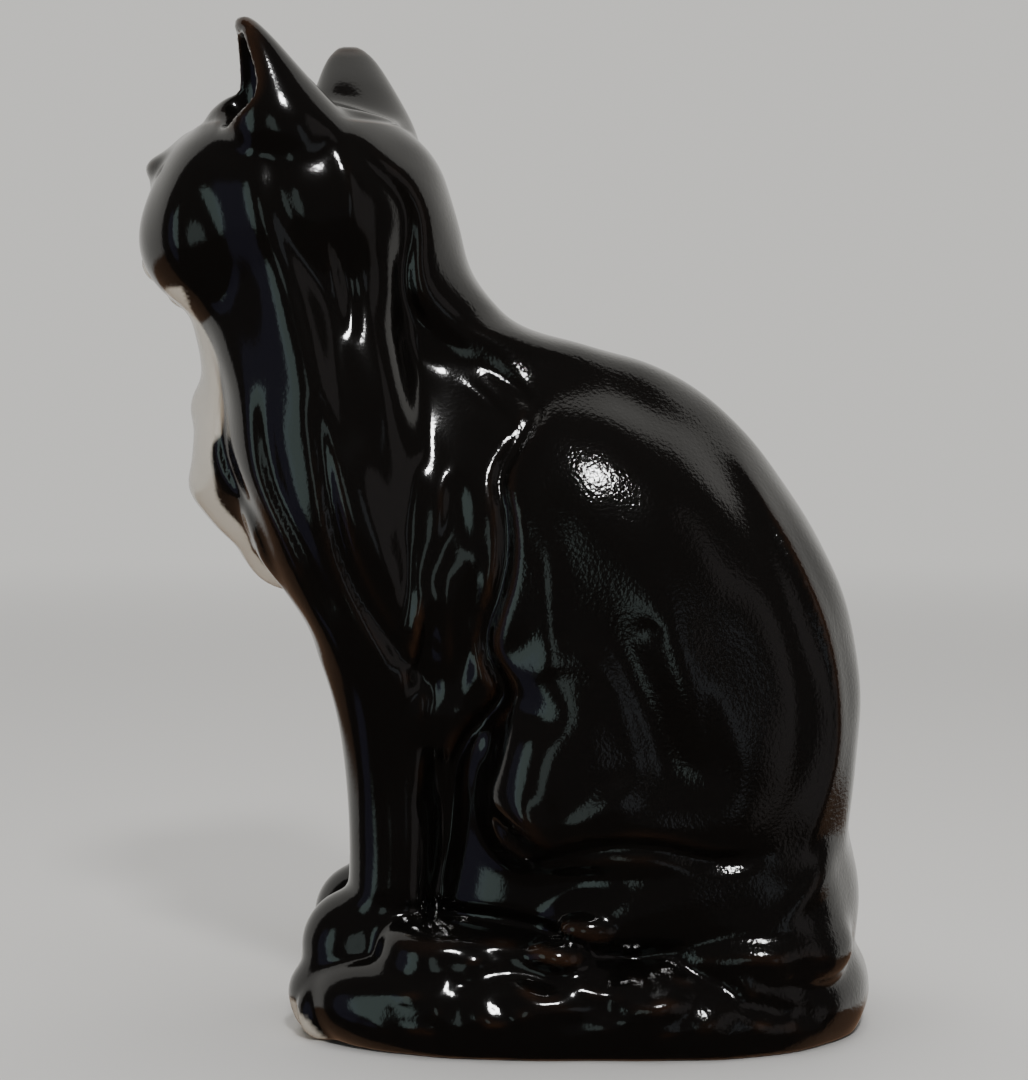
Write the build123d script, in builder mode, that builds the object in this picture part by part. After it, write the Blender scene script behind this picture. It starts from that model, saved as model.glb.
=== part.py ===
from build123d import *
import os

# A seated cat in glazed ceramic, cast hollow in separate moulds and luted together.
# The cat faces -Y with its own left side towards +X. The origin is the middle of the
# face that it rests on. Millimetres, +Z up.

# ---------------------------------------------------------------- driving dimensions
WALL = 5                     # thickness of a casting
FLOOR = 6                    # thickness of the slab that closes the trunk
VENT_BORE = 10               # kiln vent in the slab
VENT_PLACE = (0, 34)
NECK_JOINT = 205             # height where the head is luted on
HEAD_TURN = 28               # degrees that the head looks to the cat's right
HEAD_CENTRE = (0, -79, 223.5)
CRANIUM = (38, 42, 31)       # half-sizes: across, along the gaze, up

# The trunk: height, middle along Y, half-length, half-width
TRUNK_SECTIONS = [
    (0, 14, 63, 41),
    (36, 14, 62, 40),
    (66, 14, 63, 41),
    (96, 8, 69, 41),
    (126, -9, 81, 41),
    (151, -22, 80, 40),
    (171, -33, 69, 38),
    (185, -44, 58, 36),
    (195, -61, 47, 35),
    (NECK_JOINT, -71, 41, 34),
]
# The neck inside the head casting, from the joint up into the cranium
NECK_SECTIONS = [
    (NECK_JOINT, -71, 41, 34),
    (216, -73, 40, 34),
    (228, -76, 39, 32),
    (239, -78, 36, 29),
]
# The left foreleg: height, across, along Y, half-width, half-length
FORELEG_SECTIONS = [
    (0, 19, -52, 11, 12),
    (30, 19, -52, 11.5, 12.5),
    (62, 20, -51, 12, 13.5),
    (90, 22, -53, 14, 17),
    (126, 25, -63, 17, 25),
    (156, 25, -68, 17, 27),
    (177, 21, -70, 15, 22),
]
FORELEG_HOLLOW_FROM = 3      # the section where the leg's cavity begins

HAUNCH_PLACE = Location((26, 26, 98), (-18, 0, 0))
HAUNCH = (24, 48, 55)
HIND_FOOT_PLACE = Location((38, 23, 30), (-3, 0, 0))
HIND_FOOT = (13, 31, 13)
FRONT_PAW_PLACE = Location((18, -58, 15))
FRONT_PAW = (17, 22, 19)
RUFF_PLACE = Location((0, -92, 155), (14, 0, 0))
RUFF = (30, 17, 38)

# The tail is a roll with a flat underside, vented into the trunk.
TAIL_HALF_WIDTH = 15
TAIL_TOP = 28
TAIL_ROUND = 12              # radius of its shoulders
TAIL_SINK = 6                # how far its full section would reach below the floor
TAIL_TURNS = [(-24, 65), (18, 65), (37.5, 42), (37.5, -30), (29, -59)]
TAIL_TURN_RADIUS = 28
TAIL_VENT_BORE = 6
TAIL_VENT_PLACE = (36, 10, 14)

# Places on the head, in its own turned axes: across, behind, above its centre
EYE_PLACE = (15.5, -28, 4)
EYE_RADIUS = 9.5
MUZZLE_PLACE = (0, -36, -13)
MUZZLE = (17, 14, 11)
NOSE_PLACE = (0, -48, -7)
NOSE = (4.6, 3.4, 3)
EAR_ROOT = (22, 8, 15)
EAR_TIP = (25, 1, 49.5)
EAR_HALF_WIDTH = 18.5
EAR_HALF_DEPTH = 14
EAR_TIP_RADIUS = 2
EAR_CUP_DEPTH = 11

HEAD_PLANE = Plane(HEAD_CENTRE, x_dir=Vector(1, 0, 0).rotate(Axis.Z, -HEAD_TURN), z_dir=(0, 0, 1))


# ---------------------------------------------------------------- shared forms
def ellipsoid(half_sizes):
    """A solid ellipsoid about the origin."""
    largest = max(half_sizes)
    with BuildPart() as form:
        Sphere(largest)
        scale(by=tuple(size / largest for size in half_sizes))
    return form.part


def upright_form(sections, inset=0):
    """A smooth loft of level ellipses: height, middle along Y, half-length, half-width."""
    with BuildPart() as form:
        for height, middle, half_length, half_width in sections:
            with BuildSketch(Plane.XY.offset(height)):
                with Locations((0, middle)):
                    Ellipse(half_width - inset, half_length - inset)
        loft()
    return form.part


def leg_form(sections, inset=0):
    """As upright_form, but each section also has its own place across."""
    with BuildPart() as form:
        for height, across, along, half_width, half_length in sections:
            with BuildSketch(Plane.XY.offset(height)):
                with Locations((across, along)):
                    Ellipse(half_width - inset, half_length - inset)
        loft()
    return form.part


def other_side(piece):
    """The same piece on the cat's right side."""
    return mirror(piece, about=Plane.YZ)


# ---------------------------------------------------------------- whole outer forms
trunk_outside = upright_form(TRUNK_SECTIONS)
trunk_inside = upright_form(TRUNK_SECTIONS, inset=WALL)
neck_outside = upright_form(NECK_SECTIONS)
neck_inside = upright_form(NECK_SECTIONS, inset=WALL)

with BuildPart() as head_form:
    with Locations(HEAD_PLANE):
        add(ellipsoid(CRANIUM))
    split(bisect_by=Plane.XY.offset(NECK_JOINT), keep=Keep.TOP)
    add(neck_outside)

foreleg_outside = leg_form(FORELEG_SECTIONS)
foreleg_inside = leg_form(FORELEG_SECTIONS[FORELEG_HOLLOW_FROM:-1], inset=WALL)

with BuildPart() as haunch_form:
    with Locations(HAUNCH_PLACE):
        add(ellipsoid(HAUNCH))

with BuildPart() as haunch_hollow:
    with Locations(HAUNCH_PLACE):
        add(ellipsoid(tuple(size - WALL for size in HAUNCH)))

with BuildPart() as hind_foot_form:
    with Locations(HIND_FOOT_PLACE):
        add(ellipsoid(HIND_FOOT))

with BuildPart() as front_paw_form:
    with Locations(FRONT_PAW_PLACE):
        add(ellipsoid(FRONT_PAW))
    split(bisect_by=Plane.XY, keep=Keep.TOP)

# The tail leaves the rump, turns round the hip and lies along the left side.
with BuildLine(Plane.XY) as tail_axis:
    FilletPolyline(*TAIL_TURNS, radius=TAIL_TURN_RADIUS)


def tail_section(inset):
    """The tail's upright section, drawn about the point where its axis meets the floor."""
    height = TAIL_TOP + TAIL_SINK - 2 * inset
    with Locations((0, TAIL_TOP - inset - height / 2)):
        RectangleRounded(2 * (TAIL_HALF_WIDTH - inset), height, TAIL_ROUND - inset)


def tail_roll(inset=0):
    """The tail's roll along its axis, with round ends."""
    start, end = tail_axis.line @ 0, tail_axis.line @ 1
    along = tail_axis.line % 0
    with BuildPart() as roll:
        with BuildSketch(Plane(start, x_dir=Vector(0, 0, 1).cross(along), z_dir=along)):
            tail_section(inset)
        sweep(path=tail_axis.line)
        for place in (start, end):
            with BuildSketch(Plane(place, x_dir=(1, 0, 0), z_dir=(0, -1, 0))):
                tail_section(inset)
                Rectangle(TAIL_HALF_WIDTH, 4 * TAIL_TOP, align=(Align.MAX, Align.CENTER),
                          mode=Mode.SUBTRACT)
            revolve(axis=Axis(place, (0, 0, 1)))
        split(bisect_by=Plane.XY.offset(inset), keep=Keep.TOP)
    return roll.part


tail_form = tail_roll()

# ---------------------------------------------------------------- trunk and slab
with BuildPart() as body_shell:
    add(trunk_outside)
    add(trunk_inside, mode=Mode.SUBTRACT)
    for cavity in (haunch_hollow.part, foreleg_inside):
        add(cavity, mode=Mode.SUBTRACT)
        add(other_side(cavity), mode=Mode.SUBTRACT)
    with Locations(Location(TAIL_VENT_PLACE, (0, 90, 0))):
        Cylinder(TAIL_VENT_BORE / 2, 4 * WALL, mode=Mode.SUBTRACT)

with BuildPart() as base_floor:
    add(trunk_inside)
    split(bisect_by=Plane.XY.offset(FLOOR), keep=Keep.BOTTOM)
    with Locations(VENT_PLACE):
        Hole(VENT_BORE / 2)

# ---------------------------------------------------------------- limbs
with BuildPart() as left_foreleg:
    add(foreleg_outside)
    for neighbour in (foreleg_inside, trunk_outside):
        add(neighbour, mode=Mode.SUBTRACT)
with BuildPart() as right_foreleg:
    add(other_side(left_foreleg.part))

with BuildPart() as left_haunch:
    add(haunch_form.part)
    add(haunch_hollow.part, mode=Mode.SUBTRACT)
    add(trunk_outside, mode=Mode.SUBTRACT)
with BuildPart() as right_haunch:
    add(other_side(left_haunch.part))

with BuildPart() as left_hind_foot:
    add(hind_foot_form.part)
    for neighbour in (trunk_outside, haunch_form.part, tail_form):
        add(neighbour, mode=Mode.SUBTRACT)
with BuildPart() as right_hind_foot:
    add(other_side(hind_foot_form.part))
    for neighbour in (trunk_outside, other_side(haunch_form.part), tail_form):
        add(neighbour, mode=Mode.SUBTRACT)

with BuildPart() as left_front_paw:
    add(front_paw_form.part)
    split(bisect_by=Plane.YZ, keep=Keep.TOP)
    for neighbour in (trunk_outside, foreleg_outside, tail_form):
        add(neighbour, mode=Mode.SUBTRACT)
with BuildPart() as right_front_paw:
    add(other_side(front_paw_form.part))
    split(bisect_by=Plane.YZ, keep=Keep.BOTTOM)
    for neighbour in (trunk_outside, other_side(foreleg_outside)):
        add(neighbour, mode=Mode.SUBTRACT)

# ---------------------------------------------------------------- tail
with BuildPart() as tail:
    add(tail_form)
    for neighbour in (tail_roll(inset=WALL), trunk_outside, foreleg_outside):
        add(neighbour, mode=Mode.SUBTRACT)

# ---------------------------------------------------------------- head
with BuildPart() as head_shell:
    add(head_form.part)
    with Locations(HEAD_PLANE):
        add(ellipsoid(tuple(size - WALL for size in CRANIUM)), mode=Mode.SUBTRACT)
    add(neck_inside, mode=Mode.SUBTRACT)


def head_place(across, behind, above):
    """A point given in the head's own turned axes."""
    return HEAD_PLANE.from_local_coords(Vector(across, behind, above))


def ear(side):
    """A cupped ear. Side is 1 for the cat's left and -1 for its right."""
    root = head_place(side * EAR_ROOT[0], *EAR_ROOT[1:])
    tip = head_place(side * EAR_TIP[0], *EAR_TIP[1:])
    up = tip - root
    foot = Plane(root, x_dir=HEAD_PLANE.x_dir, z_dir=up)
    end = Plane(tip, x_dir=HEAD_PLANE.x_dir, z_dir=up)
    with BuildPart() as form:
        with BuildSketch(foot):
            Ellipse(EAR_HALF_WIDTH, EAR_HALF_DEPTH)
        with BuildSketch(end):
            Circle(EAR_TIP_RADIUS)
        loft()
        with BuildSketch(foot.offset(up.length * 0.1)):
            with Locations((0, -EAR_CUP_DEPTH)):
                Ellipse(EAR_HALF_WIDTH - WALL, EAR_CUP_DEPTH)
        with BuildSketch(end.offset(-up.length * 0.2)):
            with Locations((0, -EAR_CUP_DEPTH / 2)):
                Circle(EAR_TIP_RADIUS)
        loft(mode=Mode.SUBTRACT)
        add(head_form.part, mode=Mode.SUBTRACT)
    return form.part


with BuildPart() as left_ear:
    add(ear(1))
with BuildPart() as right_ear:
    add(ear(-1))

with BuildPart() as muzzle_form:
    with Locations(HEAD_PLANE * Location(MUZZLE_PLACE)):
        add(ellipsoid(MUZZLE))
with BuildPart() as muzzle:
    add(muzzle_form.part)
    for neighbour in (head_form.part, trunk_outside):
        add(neighbour, mode=Mode.SUBTRACT)

with BuildPart() as nose:
    with Locations(HEAD_PLANE * Location(NOSE_PLACE)):
        add(ellipsoid(NOSE))
    for neighbour in (head_form.part, muzzle_form.part):
        add(neighbour, mode=Mode.SUBTRACT)


def eye(side):
    """A glazed eye that stands a little proud of the head."""
    with BuildPart() as ball:
        with Locations(head_place(side * EYE_PLACE[0], *EYE_PLACE[1:])):
            Sphere(EYE_RADIUS)
        for neighbour in (head_form.part, muzzle_form.part):
            add(neighbour, mode=Mode.SUBTRACT)
    return ball.part


with BuildPart() as left_eye:
    add(eye(1))
with BuildPart() as right_eye:
    add(eye(-1))

with BuildPart() as chest_ruff:
    with Locations(RUFF_PLACE):
        add(ellipsoid(RUFF))
    for neighbour in (trunk_outside, foreleg_outside, other_side(foreleg_outside)):
        add(neighbour, mode=Mode.SUBTRACT)

# ---------------------------------------------------------------- one file for each piece
PIECES = {
    "body_shell": body_shell,
    "base_floor": base_floor,
    "head_shell": head_shell,
    "left_ear": left_ear,
    "right_ear": right_ear,
    "muzzle": muzzle,
    "nose": nose,
    "left_eye": left_eye,
    "right_eye": right_eye,
    "chest_ruff": chest_ruff,
    "left_foreleg": left_foreleg,
    "right_foreleg": right_foreleg,
    "left_front_paw": left_front_paw,
    "right_front_paw": right_front_paw,
    "left_haunch": left_haunch,
    "right_haunch": right_haunch,
    "left_hind_foot": left_hind_foot,
    "right_hind_foot": right_hind_foot,
    "tail": tail,
}
os.makedirs("parts", exist_ok=True)
for name, piece in PIECES.items():
    piece.part.label = name
    export_step(piece.part, f"parts/{name}.step")
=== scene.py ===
"""A seated cat in mirror-bright black and white glaze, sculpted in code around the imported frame.

The whole cat is one blended surface, so the glaze runs over the joints between its castings
as it does on the real figurine. The surface is then cut into the pieces that the frame names.
Sculpting is in millimetres in the frame's own axes: the body faces -Y, its left side is +X.
"""
import math
from concurrent.futures import ThreadPoolExecutor

import bpy
import numpy as np
import openvdb
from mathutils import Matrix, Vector

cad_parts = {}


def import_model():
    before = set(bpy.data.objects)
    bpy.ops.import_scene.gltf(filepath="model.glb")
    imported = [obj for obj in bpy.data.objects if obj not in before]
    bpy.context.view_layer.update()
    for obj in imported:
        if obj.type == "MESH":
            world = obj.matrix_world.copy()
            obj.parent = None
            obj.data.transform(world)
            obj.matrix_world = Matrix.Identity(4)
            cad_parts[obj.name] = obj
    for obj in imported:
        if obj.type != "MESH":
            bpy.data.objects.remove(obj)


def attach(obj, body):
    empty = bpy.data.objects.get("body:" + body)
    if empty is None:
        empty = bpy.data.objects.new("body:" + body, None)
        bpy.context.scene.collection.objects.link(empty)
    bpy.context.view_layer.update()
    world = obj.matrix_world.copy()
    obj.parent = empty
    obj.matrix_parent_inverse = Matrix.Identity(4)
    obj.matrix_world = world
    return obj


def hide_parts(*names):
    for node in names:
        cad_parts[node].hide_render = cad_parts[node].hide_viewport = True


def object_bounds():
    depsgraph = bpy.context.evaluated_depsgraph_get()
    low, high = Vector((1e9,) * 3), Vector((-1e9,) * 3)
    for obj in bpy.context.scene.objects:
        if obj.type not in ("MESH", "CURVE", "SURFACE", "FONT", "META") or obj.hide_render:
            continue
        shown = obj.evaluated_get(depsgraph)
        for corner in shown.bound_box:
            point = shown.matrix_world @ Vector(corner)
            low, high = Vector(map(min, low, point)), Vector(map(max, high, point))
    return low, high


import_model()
cad_low, cad_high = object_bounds()

MM = 0.001
VOXEL = 1.27   # millimetres between the samples that the surface is made from
COARSE = 4                           # voxels to a step of the first, rough sampling
WALL = 1.6                           # thickness given to each piece, under its visible face
BLOCK = 40.0                         # edge of the blocks in which points are measured
rng = np.random.default_rng(7)


# ---------------------------------------------------------------- curves
def spline(knots, values, at):
    """A natural cubic spline through values (one row for each knot), read at any numbers."""
    knots, values = np.asarray(knots, float), np.asarray(values, float)
    gap = np.diff(knots)
    slope = np.diff(values, axis=0) / gap[:, None]
    count = len(knots)
    system = np.eye(count)
    right = np.zeros_like(values)
    for i in range(1, count - 1):
        system[i, i - 1:i + 2] = gap[i - 1], 2 * (gap[i - 1] + gap[i]), gap[i]
        right[i] = 6 * (slope[i] - slope[i - 1])
    bend = np.linalg.solve(system, right)
    at = np.clip(at, knots[0], knots[-1])
    i = np.clip(np.searchsorted(knots, at) - 1, 0, count - 2)
    before, after, g = (at - knots[i])[:, None], (knots[i + 1] - at)[:, None], gap[i][:, None]
    return ((bend[i] * after ** 3 + bend[i + 1] * before ** 3) / (6 * g)
            + (values[i] / g - bend[i] * g / 6) * after
            + (values[i + 1] / g - bend[i + 1] * g / 6) * before)


def spaced(rows, spacing):
    """Rows of numbers resampled evenly along the smooth curve of their first three columns."""
    rows = np.asarray(rows, float)
    steps = np.linalg.norm(np.diff(rows[:, :3], axis=0), axis=1)
    along = np.concatenate([[0], np.cumsum(steps)])
    count = max(2, int(round(along[-1] / spacing)) + 1)
    return spline(along, rows, np.linspace(0, along[-1], count)), along[-1] / (count - 1)


# ---------------------------------------------------------------- clay: forms and how they join
class Form:
    """One form. reach is how far outside its box of places it can still change the surface."""

    def __init__(self, measure, places, reach, join="add", softness=4.0):
        places = np.atleast_2d(places)
        self.measure, self.join, self.softness = measure, join, softness
        self.low, self.high = places.min(0) - reach, places.max(0) + reach

    def apply(self, found, points):
        near = np.flatnonzero(((points > self.low) & (points < self.high)).all(1))
        if not len(near):
            return
        here, there = found[near], self.measure(points[near])
        if self.join == "press":
            found[near] = here + there
        elif self.join == "carve":
            found[near] = -blended(-here, there, self.softness)
        else:
            found[near] = blended(here, there, self.softness)


def blended(a, b, softness):
    """The lesser of two distances, rounded off where they are within softness of each other."""
    overlap = np.maximum(softness - np.abs(a - b), 0) / softness
    return np.minimum(a, b) - overlap ** 3 * softness / 6


def distance(points, clay):
    """Signed distance from points to the joined forms, negative inside.

    The points are taken in blocks, because most forms reach only a few blocks.
    """
    found = np.full(len(points), 60.0)
    x, y, z = (np.floor(points / BLOCK).astype(int) + 500).T
    key = (x * 1000 + y) * 1000 + z
    order = np.argsort(key, kind="stable")
    blocks = np.split(order, np.flatnonzero(np.diff(key[order])) + 1)

    def fill(block):
        part = points[block]
        low, high = part.min(0), part.max(0)
        here = found[block]
        for form in clay:
            if (form.low < high).all() and (form.high > low).all():
                form.apply(here, part)
        found[block] = here

    with ThreadPoolExecutor(4) as pool:
        list(pool.map(fill, blocks))
    return found


def ellipse_distance(u, v, half_u, half_v, square=2.0):
    """Distance to an ellipse, whose corners fill out as square rises above 2."""
    u, v = np.abs(u / half_u) + 1e-6, np.abs(v / half_v) + 1e-6
    out = (u ** square + v ** square) ** (1 / square)
    rise = np.hypot((u / out) ** (square - 1) / half_u, (v / out) ** (square - 1) / half_v)
    return (out - 1) / rise


def ball(centre, radii, tilt=None):
    """Distance to an ellipsoid. The rows of tilt are its own axes."""
    axes = np.eye(3) if tilt is None else tilt
    centre, radii = np.asarray(centre, float), np.asarray(radii, float)

    def measure(points):
        local = (points - centre) @ axes.T / radii
        out = np.linalg.norm(local, axis=1)
        steep = np.linalg.norm(local / radii, axis=1) + 1e-9
        return out * (out - 1) / steep
    return measure


def lump(centre, radii, tilt=None, softness=6.0, join="add"):
    return Form(ball(centre, radii, tilt), centre, max(radii) + softness + 8, join, softness)


def column(sections, turn=0.0, square=2.0):
    """An upright loft. Sections: height, centre X, centre Y, then half-sizes across and along,
    measured on level axes turned by turn radians."""
    sections = np.asarray(sections, float)
    c, s = math.cos(turn), math.sin(turn)

    def level(points, height):
        x, y, half_u, half_v = spline(sections[:, 0], sections[:, 1:], height).T
        dx, dy = points[:, 0] - x, points[:, 1] - y
        return ellipse_distance(c * dx + s * dy, c * dy - s * dx, half_u, half_v, square)

    def measure(points):
        height = points[:, 2]
        flat = level(points, height)
        rise = level(points, height + 1.0) - flat
        side = flat / np.sqrt(1 + rise ** 2)
        ends = np.maximum(sections[0, 0] - height, height - sections[-1, 0])
        return -blended(-side, -ends, 3.0)
    return measure


def beads(rows, softness=2.5, spacing=4.0):
    """Distance to a soft limb. Rows: X, Y, Z and radius, along its middle."""
    places, step = spaced(rows, spacing)

    def measure(points):
        total = np.zeros(len(points))
        for x, y, z, radius in places:
            away = np.linalg.norm(points - (x, y, z), axis=1)
            weight = step / math.sqrt(2 * math.pi * radius * softness)
            total += weight * np.exp(np.minimum((radius - away) / softness, 30))
        return -softness * np.log(total + 1e-30)
    return measure


def limb(rows, join_softness=6.0):
    rows = np.asarray(rows, float)
    reach = rows[:, 3].max() + join_softness + 8
    return Form(beads(rows), rows[:, :3], reach, "add", join_softness)


def stroke(points, width, rise, axes=(0, 1, 2), side=0):
    """A ridge (or, with a negative rise, a groove) drawn on the surface, fading at both ends.

    With axes (1, 2) it is drawn on the side view, and side says on which flank.
    """
    axes, spread = list(axes), width / 2
    flat = np.pad(np.asarray(points, float), ((0, 0), (0, 3 - len(axes))))
    places, step = spaced(flat, spread / 1.2)
    places = places[:, :len(axes)]
    fade = np.sin(np.pi * (np.arange(len(places)) + 0.5) / len(places)) ** 0.6
    gain = fade * -rise * step / (spread * math.sqrt(2 * math.pi))
    reach = 4 * spread

    def measure(points):
        total = np.zeros(len(points))
        drawn = points[:, axes]
        close = ((places > drawn.min(0) - reach) & (places < drawn.max(0) + reach)).all(1)
        for place, g in zip(places[close], gain[close]):
            total += g * np.exp(((drawn - place) ** 2).sum(1) / (-2 * spread ** 2))
        if side:
            total /= 1 + np.exp((8 - side * points[:, 0]) / 2)
        return total

    low, high = np.full(3, -500.0), np.full(3, 500.0)
    low[axes], high[axes] = places.min(0), places.max(0)
    return Form(measure, np.stack([low, high]), reach, "press")


# ---------------------------------------------------------------- the head's own turned axes
HEAD = np.array([0, -79, 223.5])
TURN = math.radians(28)
ACROSS = np.array([math.cos(TURN), -math.sin(TURN), 0])
BEHIND = np.array([math.sin(TURN), math.cos(TURN), 0])
HEAD_AXES = np.stack([ACROSS, BEHIND, [0, 0, 1]])


def on_head(*local):
    """A point given across, behind and above the head's centre."""
    return HEAD + np.asarray(local, float) @ HEAD_AXES


def tilted(degrees):
    """Axes tipped about X, so that the top of a form leans forwards."""
    a = math.radians(degrees)
    return np.array([[1, 0, 0], [0, math.cos(a), math.sin(a)], [0, -math.sin(a), math.cos(a)]])


# ---------------------------------------------------------------- the sculpt
NECK_SECTIONS = [
    # height, centre X and Y, half-width, half-depth
    (135, 0, -64, 32, 24), (160, 0, -71, 36, 28), (182, 0, -74, 36.5, 30), (205, 0, -75, 34.5, 30),
    (225, 0, -73, 30, 27),
]


def trunk():
    profile = [
        # height, front, back, half-width
        (-12, -49, 77, 41),
        (12, -49, 77, 41),
        (36, -46, 74, 39),
        (66, -46, 74, 39),
        (96, -58, 73.5, 40),
        (126, -84, 68, 40.5),
        (151, -97, 55, 36.5),
        (165, -98, 43.5, 29.5),
        (175, -99, 32, 24.5),
        (182, -100, 19, 21.5),
        (187, -101, 2, 21.5),
        (191, -103, -12, 22.5),
        (198, -105, -23, 24.5),
        (207, -107, -30, 26.5),
        (218, -108, -33.5, 27.5),
        (230, -110, -37.5, 27.5),
        (240, -108, -43, 25),
        (247, -100, -52, 19),
    ]
    rows = [(z, 0, (front + back) / 2, half, (back - front) / 2) for z, front, back, half in profile]
    return [
        Form(column(rows, square=2.5), (0, 0, 0), 400),
        Form(column(NECK_SECTIONS), (0, -72, 178), 75, softness=12),
        lump((0, 50, 36), (41, 27, 26), softness=12),
    ]


def foreleg_rows(side):
    return [
        (24 * side, -66, 152, 18),
        (23 * side, -60, 125, 17),
        (21 * side, -53, 95, 14.5),
        (20 * side, -51, 70, 12.7),
        (19.5 * side, -51, 42, 12),
        (19 * side, -54, 16, 12.5),
    ]


def foreleg(side):
    return [
        lump((side * 23, -66, 155), (17, 25, 42), softness=12),
        limb(foreleg_rows(side), join_softness=7),
        lump((side * 25, -38, 90), (9, 10, 13), softness=7),
    ]


def front_paw(side):
    forms = [
        lump((side * 19, -61, 24), (12.5, 15, 15), softness=5),
        lump((side * 19, -62, 11), (14.5, 18, 12.5), softness=5),
    ]
    for toe in (-1.5, -0.5, 0.5, 1.5):
        forms.append(lump((side * 19 + toe * 6.2, -72 + abs(toe) * 1.8, 8), (4.4, 7.5, 8), softness=2.2))
    return forms


def haunch(side):
    return [
        lump((side * 22, 19, 99), (27.5, 43, 77), tilted(27), softness=13),
        lump((side * 16, 43, 92), (26, 32, 52), softness=12),
        lump((side * 35, -9, 72), (14, 16, 24), tilted(-20), softness=9),
        lump((side * 36, 14, 62), (13.5, 34, 17), softness=8),
        lump((side * 37, 2, 84), (10.5, 20, 24), softness=10),
    ]


def hind_foot_rows(side):
    """The left foot rests on the tail. The right one lies on the shelf."""
    if side > 0:
        return [(30, 58, 42, 10), (32, 34, 42, 12), (34, 12, 37, 12.5), (35, -1, 31, 11)]
    return [(-29, 56, 34, 12), (-34, 34, 20, 14), (-36, 12, 14, 13.5), (-36.5, -7, 11, 12)]


def hind_foot(side):
    forms = [
        limb(hind_foot_rows(side), join_softness=9),
        lump((side * 30, 42, 26), (17, 30, 14), softness=10),
    ]
    if side > 0:
        forms += [lump((44, y, z), (5, 8, 4.5), softness=3) for y, z in ((-6, 28), (1, 33))]
    else:
        toes = ((-29.5, -15), (-37, -17), (-44, -14))
        forms += [lump((x, y, 8), (4.3, 7.5, 8), softness=2.4) for x, y in toes]
    return forms


TAIL_ROWS = [
    (-24, 64, 10, 15),
    (0, 66, 10, 15),
    (22, 60, 9.5, 15.2),
    (35, 40, 9, 15.5),
    (37, 10, 9, 15.6),
    (37, -20, 9, 15.2),
    (34, -45, 10, 14),
    (27, -64, 11, 11.5),
]
TAIL_TOP_ROWS = [
    (14, 62, 19, 10), (33, 42, 19, 11), (36, 12, 17, 10), (35, -20, 22, 11), (31, -46, 24, 11),
]


def tail():
    return [limb(TAIL_ROWS, join_softness=3.5), limb(TAIL_TOP_ROWS, join_softness=6)]


def ruff():
    return [
        lump((0, -89, 160), (25, 18, 28), tilted(-8), softness=8),
        lump((-3, -97, 170), (14, 11, 9), softness=7),
        lump((2, -97, 149), (12, 11, 8), softness=6),
        lump((0, -82, 134), (14, 12, 14), softness=9),
    ]


def head():
    face = [
        lump(on_head(0, 1, 0), (37, 40, 31), HEAD_AXES, softness=10),
        lump(on_head(0, -26, 6), (20, 14, 18), HEAD_AXES, softness=12),
        lump(on_head(0, -34, -20), (8, 8, 6), HEAD_AXES, softness=6),
        limb([(*on_head(0, -28, 14), 8), (*on_head(0, -36, 2), 6), (*on_head(0, -42, -5), 4.5)],
             join_softness=7),
    ]
    for side in (1, -1):
        face += [
            lump(on_head(side * 20, -13, -8), (18, 21, 19), HEAD_AXES, softness=10),
            lump(on_head(side * 17, -26, -9), (9, 8, 9), HEAD_AXES, softness=8),
            lump(on_head(side * 6.2, -36, -12.5), (9, 10, 7.5), HEAD_AXES, softness=3),
            lump(on_head(side * 14, -29, 12), (10, 8, 4.5), HEAD_AXES, softness=5),
            lump(on_head(side * 16, -8, 23), (6, 6, 7), HEAD_AXES, softness=9),
        ]
    return face


EAR_ROOT = (20, 9, 15)
EAR_TIP = (27, 0.5, 49.5)
EAR_OUTWARD = math.radians(45)


def ear_column(side, sections):
    """Sections: how far up the ear, half-width, half-depth, and how far towards its opening."""
    root = on_head(side * EAR_ROOT[0], *EAR_ROOT[1:])
    tip = on_head(side * EAR_TIP[0], *EAR_TIP[1:])
    opening = side * math.sin(EAR_OUTWARD) * ACROSS - math.cos(EAR_OUTWARD) * BEHIND
    rows = []
    for up, half_width, half_depth, shift in sections:
        place = root + (tip - root) * up + opening * shift
        rows.append((place[2], place[0], place[1], half_width, half_depth))
    return column(rows, math.atan2(opening[0], -opening[1]))


EAR_OUTLINE = [
    # how far up, half-width, half-depth, shift towards the opening
    (-0.35, 9, 9, -3), (0, 16, 17, -3), (0.25, 16, 16.5, -3), (0.5, 13, 12, -2.8),
    (0.75, 9.4, 7, -2.4), (0.9, 6.4, 4, -1.8), (1.0, 3.4, 2.1, -1.2),
]


EAR_CUP = [
    (0.14, 5, 5, 10), (0.32, 10, 7.5, 7.5), (0.53, 9.6, 7.5, 5), (0.74, 6.4, 5.6, 3), (0.88, 3.4, 4, 2),
]


def ear_outside(side):
    return ear_column(side, EAR_OUTLINE)


def ear(side):
    places = [on_head(side * EAR_ROOT[0], *EAR_ROOT[1:]), on_head(side * EAR_TIP[0], *EAR_TIP[1:])]
    return [
        Form(ear_outside(side), places, 30, "add", 5),
        Form(ear_column(side, EAR_CUP), places, 26, "carve", 4.5),
    ]


EYE_RADIUS = 7.2


def eye_place(side):
    return on_head(side * 15, -28.5, 1)


UPPER_LID = [(7, -37, -1), (12, -37.5, 6), (18, -34, 7), (24, -27, 2)]   # across, behind, above
LOWER_LID = [(8, -37, -3.5), (14, -36.5, -5.5), (21, -31.5, -4)]


def eye(side):
    socket = on_head(side * 17, -36.5, 1)
    lid = [on_head(side * x, y, z) for x, y, z in UPPER_LID]
    under = [on_head(side * x, y, z) for x, y, z in LOWER_LID]
    return [
        lump(socket, (7, 5, 5.6), HEAD_AXES, softness=3, join="carve"),
        lump(eye_place(side), (EYE_RADIUS,) * 3, softness=1.0),
        stroke(lid, 1.6, 1.3),
        stroke(under, 1.4, 0.8),
    ]


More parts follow.
